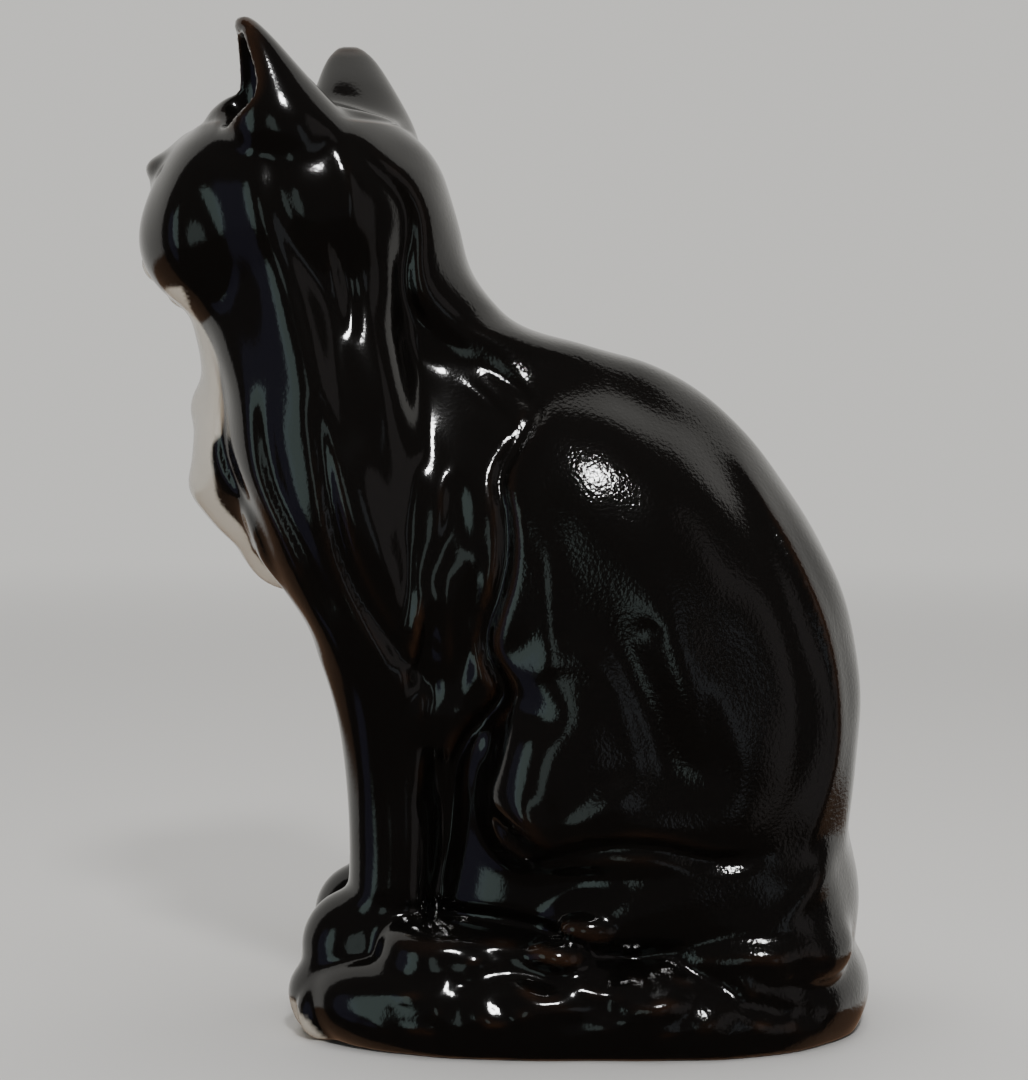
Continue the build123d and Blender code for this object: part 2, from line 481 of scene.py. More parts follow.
def nose():
    return [lump(on_head(0, -44.5, -6.5), (4.4, 3.4, 2.8), HEAD_AXES, softness=1.5)]


LIP = [(0.5, -45, -15), (5, -43, -18), (10, -38, -17.5), (14, -33, -15)]   # across, behind, above


def mouth():
    forms = [stroke([on_head(0, -45, -8.5), on_head(0, -46, -12), on_head(0, -45, -16)], 1.5, -1.1)]
    for side in (1, -1):
        forms.append(stroke([on_head(side * x, y, z) for x, y, z in LIP], 1.6, -1.2))
    return forms


VENT_PLACE, VENT_RADIUS, VENT_DEPTH = (0, 34), 5, 9


def vent():
    """The hole that a hollow casting needs in the kiln, under the base."""
    def measure(points):
        out = np.hypot(points[:, 0] - VENT_PLACE[0], points[:, 1] - VENT_PLACE[1]) - VENT_RADIUS
        return np.maximum(out, points[:, 2] - VENT_DEPTH)
    return [Form(measure, (*VENT_PLACE, 0), 20, "carve", 1.0)]


# Ridges and grooves of the coat as they run on the side view: width, rise, then Y and Z.
HEAD_AND_NECK = [
    (7.5, 2.2, [(-64, 247), (-58, 239), (-50, 234), (-43, 226), (-41, 214), (-42, 204), (-37, 196),
                (-26, 189), (-13, 176)]),                                     # crest of the nape
    (4.0, -1.3, [(-63, 241), (-55, 232), (-48, 224), (-47, 212), (-48, 202), (-43, 192), (-32, 184)]),
    (3.0, -0.8, [(-27, 182), (-19, 176), (-11, 167)]),
    (3.0, -0.7, [(-32, 177), (-24, 170), (-18, 163)]),
    (10, 1.9, [(-90, 235), (-85.5, 225), (-79, 205), (-75, 193), (-70, 167), (-63, 145), (-58, 128)]),
    (5.0, 1.0, [(-66, 244), (-63, 234), (-61, 226), (-62, 214)]),
    (6.0, -1.7, [(-82, 241), (-78, 218), (-68, 198), (-64, 177), (-60, 160)]),
    (8.0, 1.5, [(-57, 228), (-54, 198), (-51.5, 172), (-48, 150), (-43, 130)]),
    (3.6, -1.4, [(-66, 216), (-62, 200), (-61, 188)]),
    (5.0, -1.2, [(-50, 222), (-47.5, 198), (-44, 172), (-39, 152)]),
    (3.4, -1.9, [(-70, 172), (-65, 140), (-62, 129), (-54, 113), (-38, 92)]),
    (8.0, 1.5, [(-60, 160), (-56, 142), (-50, 124), (-43, 108)]),
    (10, -1.3, [(-98, 226), (-96, 212), (-92, 198), (-90, 184)]),
    (9.0, 1.5, [(-92, 245), (-99, 241), (-107, 235), (-110, 226), (-109, 214), (-104, 202), (-99, 192)]),
    (3.0, -1.3, [(-103, 193), (-97, 175), (-95, 156), (-87, 141), (-81, 124), (-70, 104)]),
    (7.0, 1.8, [(-95, 188), (-90, 169), (-87, 152), (-79, 137), (-72, 118), (-63, 100)]),
    (4.0, -1.2, [(-84, 172), (-81, 150), (-73, 132), (-66, 115)]),
]
BODY = [
    (3.2, -2.6, [(-10, 172), (-17, 161), (-22, 151), (-21, 143), (-23, 119), (-25, 104), (-21, 96),
                 (-30, 83), (-34, 70), (-35, 54), (-38, 41)]),                # shoulder from haunch
    (8.0, 0.8, [(-12, 154), (-15, 146), (-15, 130), (-16, 112)]),
    (6.0, 1.0, [(-10, 137), (-9, 118), (-10, 99)]),
    (15, -3.6, [(2, 124), (6, 113), (14, 95), (21, 80), (28, 67)]),          # valley down the thigh
    (9.0, 1.0, [(18, 118), (25, 100), (32, 84), (38, 70)]),
    (6.0, 1.0, [(-22, 98), (-8, 104), (4, 103), (9, 94), (15, 77), (16, 73)]),  # plate of the knee
    (6.0, 1.1, [(16, 75), (4, 65), (-9, 56)]),
    (7.0, -1.6, [(-19, 93), (-13, 90), (-7, 89)]),
    (4.0, -2.8, [(-14, 50), (4, 55), (24, 54), (37, 51), (47, 53)]),  # under the thigh
    (3.0, 1.0, [(41, 158), (57, 129), (65, 108), (67, 76), (58, 52)]),        # rim of the rump
    (6.0, -1.0, [(35, 156), (50, 128), (58, 106), (60, 78), (53, 58)]),
    (5.0, 1.2, [(52, 36), (60, 43), (67, 53)]),
    (5.0, 1.8, [(-18, 66), (-14, 61), (-10, 57)]),
    (3.0, -1.4, [(-24, 64), (-18, 57), (-9, 52)]),
    (3.4, -0.9, [(15.5, 113), (18, 111)]),
    (12, -1.0, [(34, 118), (40, 104), (43, 88)]),
    (5.0, -1.0, [(30, 96), (33, 84), (36, 72)]),
]
TAIL_FOLDS = [
    (4.5, -2.2, [(60, 30), (44, 31), (30, 29), (17, 25), (1, 28), (-22, 33), (-47, 34), (-57, 37)]),
    (7.0, 2.0, [(-52, 29), (-42, 27), (-34, 28)]),
    (8.0, 1.5, [(-51, 18), (-42, 17), (-32, 17)]),
    (6.0, 1.2, [(-20, 17), (-12, 16), (-3, 17)]),
    (6.0, 1.2, [(11, 18), (22, 17)]),
    (6.0, 1.8, [(-30, 15), (-20, 13), (-8, 16)]),
    (5.0, -1.6, [(-26, 25), (-12, 21), (2, 23)]),
    (6.0, 1.4, [(-12, 27), (-4, 26), (6, 26)]),
    (5.0, 1.9, [(8, 16), (16, 13), (24, 16)]),
    (4.5, -1.9, [(24, 25), (36, 18), (50, 12), (66, 10)]),
    (9.0, 1.8, [(38, 26), (54, 25), (68, 20)]),
]
TAIL_LOCKS = 70     # short tufts along the tail
LOCKS = 26          # short tufts low on the chest, between the shoulder and the haunch


def fur():
    forms = []
    for side in (1, -1):
        for width, rise, points in HEAD_AND_NECK + BODY:
            forms.append(stroke(points, width, rise, axes=(1, 2), side=side))
        for _ in range(LOCKS):
            y, z = rng.uniform(-46, -25), rng.uniform(84, 168)
            y -= 0.12 * (z - 84) - 4
            length, lean = rng.uniform(14, 30), rng.uniform(-5, 3)
            rise, width = rng.choice([-0.8, 0.8]) * rng.uniform(0.6, 1.3), rng.uniform(2.4, 4.6)
            forms.append(stroke([(y, z), (y + lean, z - length)], width, rise, axes=(1, 2), side=side))
    for width, rise, points in TAIL_FOLDS:
        forms.append(stroke(points, width, rise, axes=(1, 2), side=1))
    for _ in range(TAIL_LOCKS):
        y, z = rng.uniform(-56, 62), rng.uniform(7, 27)
        length, lean = rng.uniform(4, 10), rng.uniform(-2.5, 2.5)
        rise, width = rng.choice([-0.7, 0.7]) * rng.uniform(0.5, 1.2), rng.uniform(2.6, 4.4)
        forms.append(stroke([(y, z), (y + length, z + lean)], width, rise, axes=(1, 2), side=1))
    return forms


def wavering(points):
    """The slight unevenness of a thick glaze over hand-finished clay: a few slow waves."""
    total = np.zeros(len(points))
    for wave, phase in WAVES:
        total += np.sin(points @ wave + phase)
    return total * (0.12 / math.sqrt(len(WAVES) / 2))


WAVES = []
for _ in range(18):
    way = rng.normal(size=3) * (1, 1, 0.55)
    WAVES.append((way / np.linalg.norm(way) * 2 * math.pi / rng.uniform(14, 34), rng.uniform(0, 6.28)))


def whole_cat():
    clay = trunk() + head()
    for side in (1, -1):
        clay += foreleg(side) + haunch(side)
    clay += ruff()
    for side in (1, -1):
        clay += hind_foot(side) + ear(side)
    for side in (1, -1):
        clay += front_paw(side)
    clay += tail() + fur() + [Form(wavering, (0, 0, 0), 400, "press")]
    clay += mouth() + nose() + vent()
    for side in (1, -1):
        clay += eye(side)
    return clay


def with_floor(clay):
    """The clay's distance, cut level where the figurine stands."""
    def measure(points):
        return -blended(-distance(points, clay), points[:, 2], 1.0)
    return measure


# ---------------------------------------------------------------- from clay to a mesh
def surface(measure, low, high, voxel):
    """Triangles of the zero surface: sampled roughly first, then finely where it passes."""
    big = voxel * COARSE
    cells = np.ceil((high - low) / big).astype(int)
    steps = [low[i] + big * (np.arange(cells[i]) + 0.5 * (COARSE - 1) / COARSE) for i in range(3)]
    coarse = np.stack(np.meshgrid(*steps, indexing="ij"), -1).reshape(-1, 3)
    rough = measure(coarse).reshape(cells)
    field = np.repeat(np.repeat(np.repeat(rough, COARSE, 0), COARSE, 1), COARSE, 2).astype(np.float32)
    near = np.argwhere(np.abs(rough) < 1.7 * big)
    inside = np.stack(np.meshgrid(*[np.arange(COARSE)] * 3, indexing="ij"), -1).reshape(-1, 3)
    index = (near[:, None, :] * COARSE + inside[None]).reshape(-1, 3)
    field[tuple(index.T)] = measure(low + index * voxel)
    grid = openvdb.FloatGrid(float(field.max()))
    grid.copyFromArray(field)
    points, quads = grid.convertToQuads(isovalue=0.0)
    return low + points.astype(float) * voxel, quads.astype(int)


def slope(measure, points, step):
    """The gradient of the distance at points, and how much the surface bends there."""
    gradient, total = np.zeros_like(points), -6 * measure(points)
    for axis in range(3):
        shift = np.zeros(3)
        shift[axis] = step
        ahead, back = measure(points + shift), measure(points - shift)
        gradient[:, axis] = (ahead - back) / (2 * step)
        total += ahead + back
    return gradient, total / step ** 2


def settled(measure, points):
    """Points moved onto the exact surface, with their normals and the surface's bend there."""
    here = measure(points)
    gradient, _ = slope(measure, points, 0.3)
    points = points - gradient * (here / np.maximum((gradient ** 2).sum(1), 0.3))[:, None]
    gradient, bend = slope(measure, points, 0.4)
    return points, gradient / np.linalg.norm(gradient, axis=1)[:, None], bend


class Patch:
    """A stretch of surface: points, normals and painted values at each point, and triangles."""

    def __init__(self, points, normals, paint, triangles):
        used, renumbered = np.unique(triangles, return_inverse=True)
        self.points, self.normals, self.paint = points[used], normals[used], paint[used]
        self.triangles = renumbered.reshape(-1, 3)

    def cut(self, values):
        """The part where values are below zero, and the rest, split along the exact line."""
        values = np.where(np.abs(values) < 0.05, 0.0, values)
        sign = np.sign(values)[self.triangles]
        low, high = sign.min(1), sign.max(1)
        below, above = [self.triangles[high <= 0]], [self.triangles[(high > 0) & (low >= 0)]]
        crossed = self.triangles[(low < 0) & (high > 0)]
        edges = np.concatenate([crossed[:, [0, 1]], crossed[:, [1, 2]], crossed[:, [2, 0]]])
        edges = np.sort(edges[values[edges[:, 0]] * values[edges[:, 1]] < 0], axis=1)
        count = len(self.points)
        keys, first = np.unique(edges[:, 0] * count + edges[:, 1], return_index=True)
        a, b = edges[first].T
        t = (values[a] / (values[a] - values[b]))[:, None]
        points, normals, paint = (
            np.concatenate([old, old[a] * (1 - t) + old[b] * t])
            for old in (self.points, self.normals, self.paint)
        )
        normals /= np.linalg.norm(normals, axis=1)[:, None]

        def middle(p, q):
            low_end, high_end = np.minimum(p, q), np.maximum(p, q)
            return count + np.searchsorted(keys, low_end * count + high_end)

        signs = np.sign(values)[crossed]
        for turn in range(3):
            a, b, c = np.roll(crossed, -turn, axis=1).T
            sa, sb, sc = np.roll(signs, -turn, axis=1).T
            lone = (sa != 0) & (sb == -sa) & (sc == -sa)
            for here, out, back in ((lone & (sa < 0), below, above), (lone & (sa > 0), above, below)):
                i, j, k = a[here], b[here], c[here]
                m, n = middle(i, j), middle(i, k)
                out.append(np.stack([i, m, n], 1))
                back.append(np.concatenate([np.stack([m, j, k], 1), np.stack([m, k, n], 1)]))
            pivot = (sa == 0) & (sb * sc < 0)
            for here, out, back in ((pivot & (sb < 0), below, above), (pivot & (sb > 0), above, below)):
                i, j, k = a[here], b[here], c[here]
                m = middle(j, k)
                out.append(np.stack([i, j, m], 1))
                back.append(np.stack([i, m, k], 1))
        return tuple(Patch(points, normals, paint, np.concatenate(t)) for t in (below, above))

    def closed(self, wall):
        """Points, normals, paint and triangles of the patch, closed underneath.

        It gets a second face wall deep, or with no wall a flat cap over each of its openings.
        """
        count = len(self.points)
        edges = np.concatenate([self.triangles[:, pair] for pair in ([0, 1], [1, 2], [2, 0])])
        low, high = np.sort(edges, axis=1).T
        _, first, times = np.unique(low * count + high, return_index=True, return_counts=True)
        a, b = edges[first[times == 1]].T
        if not wall:
            after, loops = dict(zip(b.tolist(), a.tolist())), []
            while after:
                loop = [next(iter(after))]
                while loop[-1] in after:
                    loop.append(after.pop(loop[-1]))
                loops.append(loop[:-1])
            caps = [
                [i, j, count + k]
                for k, loop in enumerate(loops) for i, j in zip(loop, loop[1:] + loop[:1])
            ]
            sides = (self.points, self.normals, self.paint)
            middles = (np.array([side[loop].mean(0) for loop in loops]) for side in sides)
            joined = [np.concatenate(pair) for pair in zip(sides, middles)]
            return *joined, np.concatenate([self.triangles, caps])
        rim = np.concatenate([np.stack([b, a, a + count], 1), np.stack([b, a + count, b + count], 1)])
        return (
            np.concatenate([self.points, self.points - wall * self.normals]),
            np.concatenate([self.normals, -self.normals]),
            np.concatenate([self.paint, self.paint]),
            np.concatenate([self.triangles, self.triangles[:, ::-1] + count, rim]),
        )


# ---------------------------------------------------------------- which piece owns which stretch
def grown(measure, by):
    return lambda points: measure(points) - by


def both(*measures):
    """Inside every one of the regions."""
    return lambda points: np.max([m(points) for m in measures], axis=0)


def either(*measures):
    """Inside any of the regions."""
    return lambda points: np.min([m(points) for m in measures], axis=0)


def above(height):
    return lambda points: height - points[:, 2]


def below(height):
    return lambda points: points[:, 2] - height


def flank(side, margin=0.0):
    return lambda points: margin - side * points[:, 0]


NECK_JOINT, EAR_JOINT = 205, 236      # heights


def ear_region(side):
    return both(grown(ear_outside(side), 1.0), above(EAR_JOINT))


def piece_regions():
    """Node, region, and wall, in the order in which they take their share of the surface."""
    regions = [("nose", ball(on_head(0, -45, -6.5), (4.6, 5, 3.1), HEAD_AXES), None)]
    for side, name in ((1, "left"), (-1, "right")):
        regions.append((f"{name}_eye", ball(eye_place(side), (EYE_RADIUS + 0.15,) * 3), None))
    muzzle = either(
        ball(on_head(6.5, -38, -13), (11, 12.5, 9.5), HEAD_AXES),
        ball(on_head(-6.5, -38, -13), (11, 12.5, 9.5), HEAD_AXES),
        ball(on_head(0, -37, -21), (9, 10, 8), HEAD_AXES),
    )
    regions.append(("muzzle", muzzle, WALL))
    for side, name in ((1, "left"), (-1, "right")):
        regions.append((f"{name}_ear", ear_region(side), 0.8))
    regions.append(("head_shell", above(NECK_JOINT), WALL))
    regions.append(("chest_ruff", ball((0, -94, 156), (27, 19, 37), tilted(-12)), WALL))
    regions.append(("tail", both(grown(beads(TAIL_ROWS), 1.5), below(31)), WALL))
    for side, name in ((1, "left"), (-1, "right")):
        paw = both(ball((side * 19, -62, 6), (20, 27, 33)), flank(side), below(34))
        regions.append((f"{name}_front_paw", paw, WALL))
        leg = both(grown(beads(foreleg_rows(side)), 3), flank(side, 2))
        regions.append((f"{name}_foreleg", leg, WALL))
        foot = both(grown(beads(hind_foot_rows(side)), 1.5), flank(side, 20), below(58))
        regions.append((f"{name}_hind_foot", foot, WALL))
        thigh = both(ball((side * 27, 24, 98), (27, 52, 58), tilted(18)), flank(side, 8))
        regions.append((f"{name}_haunch", thigh, WALL))
    slab = both(below(0.2), lambda points: ellipse_distance(points[:, 0], points[:, 1] - 14, 36, 58))
    regions.append(("base_floor", slab, WALL))
    return regions


# ---------------------------------------------------------------- paint: where each colour goes
def smooth_step(values, low, high):
    t = np.clip((values - low) / (high - low), 0, 1)
    return t * t * (3 - 2 * t)


BIB_FOOT, BIB_TOP = 112, 202      # heights between which the chest is white
BIB_EDGE = [
    # height, and the Y behind which the chest is black
    (100, -74), (112, -77), (122, -81), (141, -87), (156, -95), (175, -97), (193, -103), (204, -108),
]


def whiteness(points):
    """1 on the white parts: bib, chin and muzzle, blaze, and the toes."""
    height = points[:, 2]
    wave = 0.8 * np.sin(height / 6) + 0.6 * np.sin(height / 2.7 + points[:, 0] / 4)
    edge = spline(*zip(*[(z, (y,)) for z, y in BIB_EDGE]), height)[:, 0]
    half_width = 9 + 0.27 * (height - BIB_FOOT)
    bib = np.maximum.reduce([
        points[:, 1] - edge, BIB_FOOT - height, height - BIB_TOP, np.abs(points[:, 0]) - half_width,
    ])
    parts = [
        bib + 0.8 * wave,
        ball(on_head(0, -35, -19), (17, 15, 15), HEAD_AXES)(points) + 0.5 * wave,
        ball(on_head(0, -35, 8), (4.5, 16, 20), HEAD_AXES)(points) + 0.3 * wave,
        ball((-19, -72, 4), (18, 14, 16))(points) + 0.5 * wave,
        ball((19, -77, 0), (16, 13, 11))(points) + 0.5 * wave,
    ]
    return 1 - smooth_step(np.min(parts, axis=0), -0.5, 0.5)


def eye_paint(points):
    """1 on the slits of the pupils, and 1 towards the rims of the eyes."""
    slit, rim = np.full(len(points), 50.0), np.full(len(points), 50.0)
    for side in (1, -1):
        away = points - eye_place(side)
        gaze = 0.45 * side * ACROSS - 0.89 * BEHIND
        level = np.array([-gaze[1], gaze[0], 0])
        u, v = away @ level, away[:, 2]
        near = np.linalg.norm(away, axis=1) < EYE_RADIUS + 1
        slit = np.where(near, ellipse_distance(u, v, 1.3, 4.4), slit)
        rim = np.where(near, 5.2 - np.hypot(u, v), rim)
    return 1 - smooth_step(slit, -0.25, 0.25), 1 - smooth_step(rim, -1.0, 1.2)


def peel(points):
    """How strongly the glaze is speckled: fully on the back and rump, faintly further forward."""
    return 0.25 + 0.75 * smooth_step(points[:, 1] + 0.25 * (points[:, 2] - 150), -32, -8)


PAINTS = ("white", "edge", "hollow", "peel", "slit", "rim")


def all_paint(points, bend):
    """One column for each name in PAINTS. edge is where the glaze runs thin, hollow is painted shade in
    hollows.
    """
    edge, hollow = smooth_step(bend, 0.15, 0.7), smooth_step(-bend, 0.1, 0.6)
    return np.stack([whiteness(points), edge, hollow, peel(points), *eye_paint(points)], 1)


# ---------------------------------------------------------------- materials
BUMP_SCALE = 0.0002               # metres, the depth that a bump height of 1 stands for
SPECKLE = (0.0010, 2, 0.00010)    # size in metres, detail, depth in metres
UNEVENNESS = (0.014, 1, 0.00012)
BLACK_GLAZE, THIN_BLACK = (0.004, 0.0035, 0.003, 1), (0.03, 0.014, 0.007, 1)
# The second white is painted shade, laid into the hollows of the white glaze.
WHITE_GLAZE, SHADED_WHITE = (0.72, 0.66, 0.57, 1), (0.34, 0.24, 0.15, 1)
AMBER, DARK_RIM, PUPIL = (0.52, 0.33, 0.03, 1), (0.05, 0.025, 0.004, 1), (0.002, 0.002, 0.002, 1)
DUSKY_PINK = (0.30, 0.10, 0.08, 1)
CLAY, PALE_CLAY = (0.52, 0.44, 0.34, 1), (0.68, 0.60, 0.49, 1)


def glaze(name, nodes_for_colour):
    material = bpy.data.materials.new(name)
    material.use_nodes = True
    tree = material.node_tree
    shader = tree.nodes["Principled BSDF"]
    colour = nodes_for_colour(tree)
    tree.links.new(colour, shader.inputs["Base Color"])
    shader.inputs["Coat Weight"].default_value = 1.0
    shader.inputs["Coat Roughness"].default_value = 0.02
    shader.inputs["Coat IOR"].default_value = 1.5
    shader.inputs["Roughness"].default_value = 0.12
    shader.inputs["Specular IOR Level"].default_value = 0.3
    place = tree.nodes.new("ShaderNodeTexCoord")
    heights = []
    for size, detail, depth in (SPECKLE, UNEVENNESS):
        noise = tree.nodes.new("ShaderNodeTexNoise")
        noise.inputs["Scale"].default_value = 1 / size
        noise.inputs["Detail"].default_value = detail
        tree.links.new(place.outputs["Object"], noise.inputs["Vector"])
        scaled = tree.nodes.new("ShaderNodeMath")
        scaled.operation = "MULTIPLY"
        scaled.inputs[1].default_value = depth / BUMP_SCALE
        tree.links.new(noise.outputs["Fac"], scaled.inputs[0])
        heights.append(scaled.outputs[0])
    speckled = tree.nodes.new("ShaderNodeMath")
    speckled.operation = "MULTIPLY_ADD"
    tree.links.new(heights[0], speckled.inputs[0])
    tree.links.new(painted(tree, "peel"), speckled.inputs[1])
    tree.links.new(heights[1], speckled.inputs[2])
    bump = tree.nodes.new("ShaderNodeBump")
    bump.inputs["Strength"].default_value = 1.0
    bump.inputs["Distance"].default_value = BUMP_SCALE
    tree.links.new(speckled.outputs[0], bump.inputs["Height"])
    tree.links.new(bump.outputs["Normal"], shader.inputs["Normal"])
    tree.links.new(bump.outputs["Normal"], shader.inputs["Coat Normal"])
    return material


def painted(tree, name):
    node = tree.nodes.new("ShaderNodeAttribute")
    node.attribute_name = name
    return node.outputs["Fac"]


def mixed(tree, factor, low, high):
    node = tree.nodes.new("ShaderNodeMix")
    node.data_type = "RGBA"
    tree.links.new(factor, node.inputs[0])
    for socket, value in ((node.inputs[6], low), (node.inputs[7], high)):
        if isinstance(value, tuple):
            socket.default_value = value
        else:
            tree.links.new(value, socket)
    return node.outputs[2]


def black_and_white(tree):
    black = mixed(tree, painted(tree, "edge"), BLACK_GLAZE, THIN_BLACK)
    # The white glaze is darkened towards brown in its hollows: painted shade.
    white = mixed(tree, painted(tree, "hollow"), WHITE_GLAZE, SHADED_WHITE)
    return mixed(tree, painted(tree, "white"), black, white)


def amber_and_slit(tree):
    iris = mixed(tree, painted(tree, "rim"), AMBER, DARK_RIM)
    return mixed(tree, painted(tree, "slit"), iris, PUPIL)


def plain(colour):
    def nodes(tree):
        node = tree.nodes.new("ShaderNodeRGB")
        node.outputs[0].default_value = colour
        return node.outputs[0]
    return nodes


def bare_clay_material():
    material = bpy.data.materials.new("bare_clay")
    material.use_nodes = True
    tree = material.node_tree
    shader = tree.nodes["Principled BSDF"]
    noise = tree.nodes.new("ShaderNodeTexNoise")
    noise.inputs["Scale"].default_value = 400
    place = tree.nodes.new("ShaderNodeTexCoord")
    tree.links.new(place.outputs["Object"], noise.inputs["Vector"])
    colour = mixed(tree, noise.outputs["Fac"], CLAY, PALE_CLAY)
    tree.links.new(colour, shader.inputs["Base Color"])
    shader.inputs["Roughness"].default_value = 0.9
    return material


cat_glaze = glaze("cat_glaze", black_and_white)
bare_clay = bare_clay_material()
nose_glaze = glaze("nose_glaze", plain(DUSKY_PINK))
eye_glaze = glaze("eye_glaze", amber_and_slit)

FINISH = {
    "nose": (nose_glaze, "nose_glaze"),
    "left_eye": (eye_glaze, "eye_glaze"),
    "right_eye": (eye_glaze, "eye_glaze"),
    "muzzle": (cat_glaze, "white_glaze"),
    "chest_ruff": (cat_glaze, "white_glaze"),
    "base_floor": (bare_clay, "bare_clay"),
}


# ---------------------------------------------------------------- build
clay_measure = with_floor(whole_cat())
box_low = np.array(cad_low) / MM - 8
box_high = np.array(cad_high) / MM + 8
points, quads = surface(clay_measure, box_low, box_high, VOXEL)
points, normals, bend = settled(clay_measure, points)
triangles = np.concatenate([quads[:, [0, 1, 2]], quads[:, [0, 2, 3]]])
paint = all_paint(points, bend)
rest = Patch(points, normals, paint, triangles)


def make_piece(node, patch, wall):
    points, normals, paint, triangles = patch.closed(wall)
    mesh = bpy.data.meshes.new(f"cat_{node}")
    mesh.vertices.add(len(points))
    mesh.vertices.foreach_set("co", (points * MM).ravel())
    mesh.loops.add(3 * len(triangles))
    mesh.loops.foreach_set("vertex_index", triangles.ravel())
    mesh.polygons.add(len(triangles))
    mesh.polygons.foreach_set("loop_start", np.arange(0, 3 * len(triangles), 3))
    for i, name in enumerate(PAINTS):
        layer = mesh.attributes.new(name, "FLOAT", "POINT")
        layer.data.foreach_set("value", paint[:, i].astype(np.float32))
    mesh.update(calc_edges=True)
    mesh.validate()
    mesh.shade_smooth()
    mesh.normals_split_custom_set_from_vertices(normals.tolist())
    material, slot = FINISH.get(node, (cat_glaze, "black_glaze"))
    mesh.materials.append(material)
    piece = bpy.data.objects.new(f"glazed_{node}", mesh)
    bpy.context.scene.collection.objects.link(piece)
    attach(piece, "root")
    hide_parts(node)
    return piece


for node, region, wall in piece_regions():
    taken, rest = rest.cut(region(rest.points))
    make_piece(node, taken, wall)
make_piece("body_shell", rest, WALL)


# ---------------------------------------------------------------- studio
BACKDROP = (0.74, 0.73, 0.70, 1)
FLOOR_COLOUR = (0.70, 0.69, 0.67, 1)
FLOOR_HALF = 6.0              # metres
HAZE_FROM, HAZE_TO = 0.25, 2.2    # metres over which the floor fades into the backdrop
CAMERA_PLACE, CAMERA_PITCH = (0.640, -0.0184, 0.1665), math.radians(2.986)
LENS, SENSOR = 76.67, 36


def floor_and_backdrop():
    mesh = bpy.data.meshes.new("floor")
    corners = [(x * FLOOR_HALF, y * FLOOR_HALF, 0) for x, y in ((-1, -1), (1, -1), (1, 1), (-1, 1))]
    mesh.from_pydata(corners, [], [(0, 1, 2, 3)])
    floor = bpy.data.objects.new("floor", mesh)
    bpy.context.scene.collection.objects.link(floor)
    material = bpy.data.materials.new("pale_floor")
    material.use_nodes = True
    tree = material.node_tree
    shader = tree.nodes["Principled BSDF"]
    shader.inputs["Base Color"].default_value = FLOOR_COLOUR
    shader.inputs["Roughness"].default_value = 0.7
    place = tree.nodes.new("ShaderNodeTexCoord")
    far = tree.nodes.new("ShaderNodeVectorMath")
    far.operation = "LENGTH"
    tree.links.new(place.outputs["Object"], far.inputs[0])
    ramp = tree.nodes.new("ShaderNodeMapRange")
    ramp.interpolation_type = "SMOOTHSTEP"
    ramp.inputs["From Min"].default_value = HAZE_FROM
    ramp.inputs["From Max"].default_value = HAZE_TO
    tree.links.new(far.outputs["Value"], ramp.inputs["Value"])
    haze = tree.nodes.new("ShaderNodeEmission")
    haze.inputs["Color"].default_value = BACKDROP
    mix = tree.nodes.new("ShaderNodeMixShader")
    tree.links.new(ramp.outputs["Result"], mix.inputs[0])
    tree.links.new(shader.outputs[0], mix.inputs[1])
    tree.links.new(haze.outputs[0], mix.inputs[2])
    tree.links.new(mix.outputs[0], tree.nodes["Material Output"].inputs["Surface"])
    mesh.materials.append(material)
    floor.visible_glossy = False


def lamp(name, place, target, size, watts):
    light = bpy.data.lights.new(name, "AREA")
    light.shape = "RECTANGLE"
    light.size = light.size_y = size
    light.energy = watts
    holder = bpy.data.objects.new(name, light)
    holder.location = place
    holder.rotation_euler = (Vector(target) - Vector(place)).to_track_quat("-Z", "Y").to_euler()
    holder.visible_camera = False
    bpy.context.scene.collection.objects.link(holder)
    return holder


def camera():
    data = bpy.data.cameras.new("camera")
    data.sensor_width = SENSOR
    data.lens = LENS
    holder = bpy.data.objects.new("camera", data)
    holder.location = CAMERA_PLACE
    direction = Vector((-math.cos(CAMERA_PITCH), 0, -math.sin(CAMERA_PITCH)))
    holder.rotation_euler = direction.to_track_quat("-Z", "Y").to_euler()
    bpy.context.scene.collection.objects.link(holder)
    bpy.context.scene.camera = holder


# What the glaze mirrors: direction, how wide (cosines where it fades out and is full), colour.
ROOM = [
    ((0.62, -0.78, 0.08), 0.984, 0.992, (0.50, 0.68, 0.65)),   # window with a green blind
    ((0.96, -0.27, 0.02), 0.992, 0.996, (0.36, 0.46, 0.44)),
    ((0.40, -0.90, -0.10), 0.975, 0.985, (0.05, 0.055, 0.11)),
    ((0.90, 0.44, -0.02), 0.994, 0.997, (0.16, 0.18, 0.20)),
    ((0.60, 0.80, 0.10), 0.965, 0.980, (0.13, 0.12, 0.12)),
]
DARK = (0.045, 0.04, 0.04, 1)
TABLE = (0.15, 0.09, 0.058, 1)
DIM_TABLE = (0.032, 0.025, 0.022, 1)
WALL_COLOUR = (0.52, 0.51, 0.485, 1)
BLACK = (0, 0, 0)
TALL = 0.4          # how much less a light's edge answers to height, which makes the lights tall


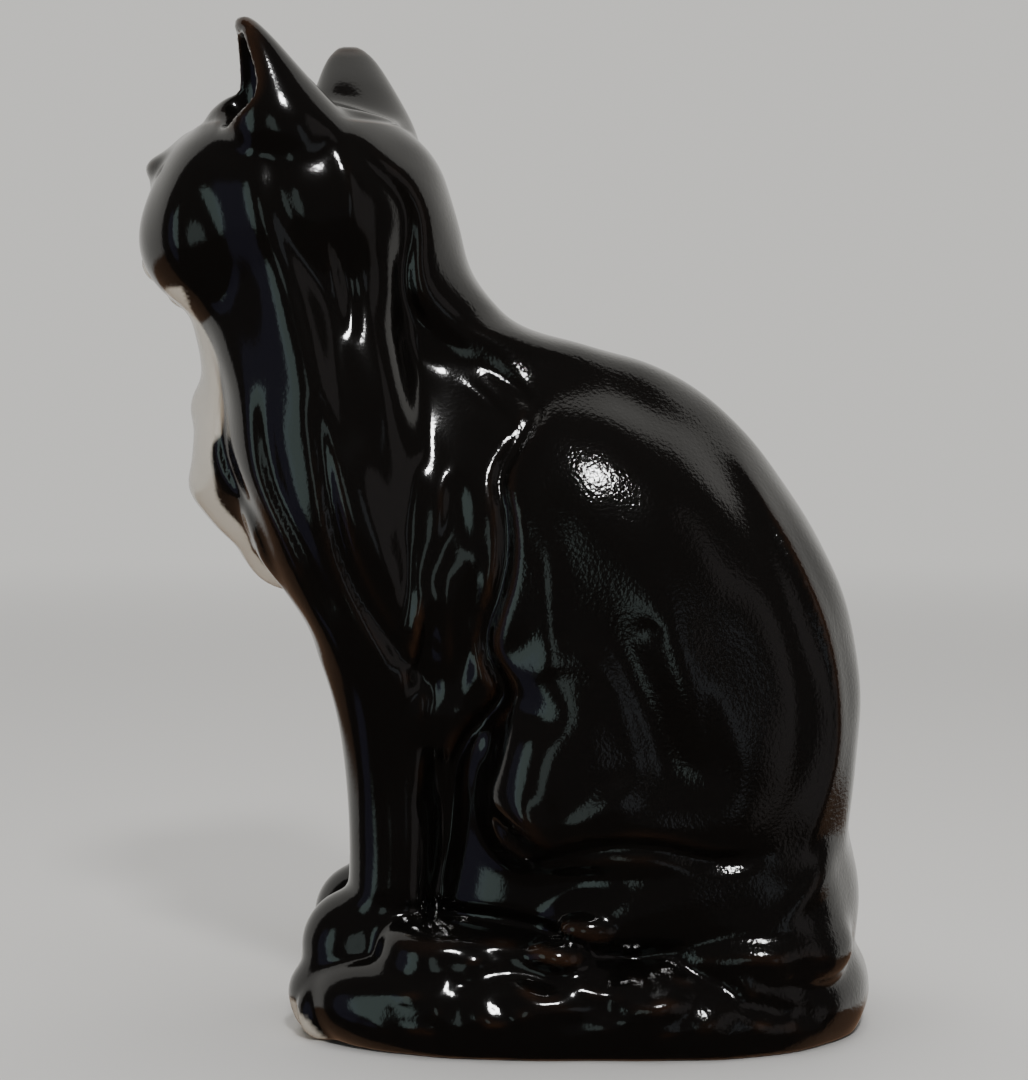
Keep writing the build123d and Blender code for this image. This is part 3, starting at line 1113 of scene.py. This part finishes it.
def glow(tree, direction, low, high, colour):
    """A soft-edged round light in one direction of the room."""
    place = tree.nodes.new("ShaderNodeTexCoord")
    squashed = tree.nodes.new("ShaderNodeVectorMath")
    squashed.operation = "MULTIPLY"
    squashed.inputs[1].default_value = (1, 1, TALL)
    evened = tree.nodes.new("ShaderNodeVectorMath")
    evened.operation = "NORMALIZE"
    dot = tree.nodes.new("ShaderNodeVectorMath")
    dot.operation = "DOT_PRODUCT"
    dot.inputs[1].default_value = (Vector(direction) * Vector((1, 1, TALL))).normalized()
    tree.links.new(place.outputs["Generated"], squashed.inputs[0])
    tree.links.new(squashed.outputs["Vector"], evened.inputs[0])
    tree.links.new(evened.outputs["Vector"], dot.inputs[0])
    ramp = tree.nodes.new("ShaderNodeMapRange")
    ramp.interpolation_type = "SMOOTHSTEP"
    ramp.inputs["From Min"].default_value = low
    ramp.inputs["From Max"].default_value = high
    tree.links.new(dot.outputs["Value"], ramp.inputs["Value"])
    light = tree.nodes.new("ShaderNodeBackground")
    light.inputs["Color"].default_value = (*colour, 1)
    tree.links.new(ramp.outputs["Result"], light.inputs["Strength"])
    return light.outputs[0], ramp.outputs["Result"]


def world():
    room = bpy.data.worlds.new("room")
    room.use_nodes = True
    tree = room.node_tree
    back = tree.nodes["Background"]
    back.inputs["Color"].default_value = BACKDROP
    total = tree.nodes.new("ShaderNodeBackground")
    _, behind = glow(tree, (-1, 0, 0), 0.06, 0.16, BLACK)
    _, down = glow(tree, (0, 0, -1), 0.09, 0.13, BLACK)
    upper = mixed(tree, behind, DARK, WALL_COLOUR)
    lower = mixed(tree, behind, DIM_TABLE, TABLE)
    tree.links.new(mixed(tree, down, upper, lower), total.inputs["Color"])
    total = total.outputs[0]
    for panel in ROOM:
        added = tree.nodes.new("ShaderNodeAddShader")
        tree.links.new(total, added.inputs[0])
        tree.links.new(glow(tree, *panel)[0], added.inputs[1])
        total = added.outputs[0]
    path = tree.nodes.new("ShaderNodeLightPath")
    mix = tree.nodes.new("ShaderNodeMixShader")
    tree.links.new(path.outputs["Is Camera Ray"], mix.inputs[0])
    tree.links.new(total, mix.inputs[1])
    tree.links.new(back.outputs[0], mix.inputs[2])
    tree.links.new(mix.outputs[0], tree.nodes["World Output"].inputs["Surface"])
    bpy.context.scene.world = room


floor_and_backdrop()
camera()
world()
lamp("ceiling_lamp", (1.15, 0.17, 1.30), (0, 0, 0.15), 0.20, 12)
soft = lamp("soft_box", (0.0, 0.0, 1.8), (0, 0, 0), 1.8, 26)
soft.visible_glossy = False
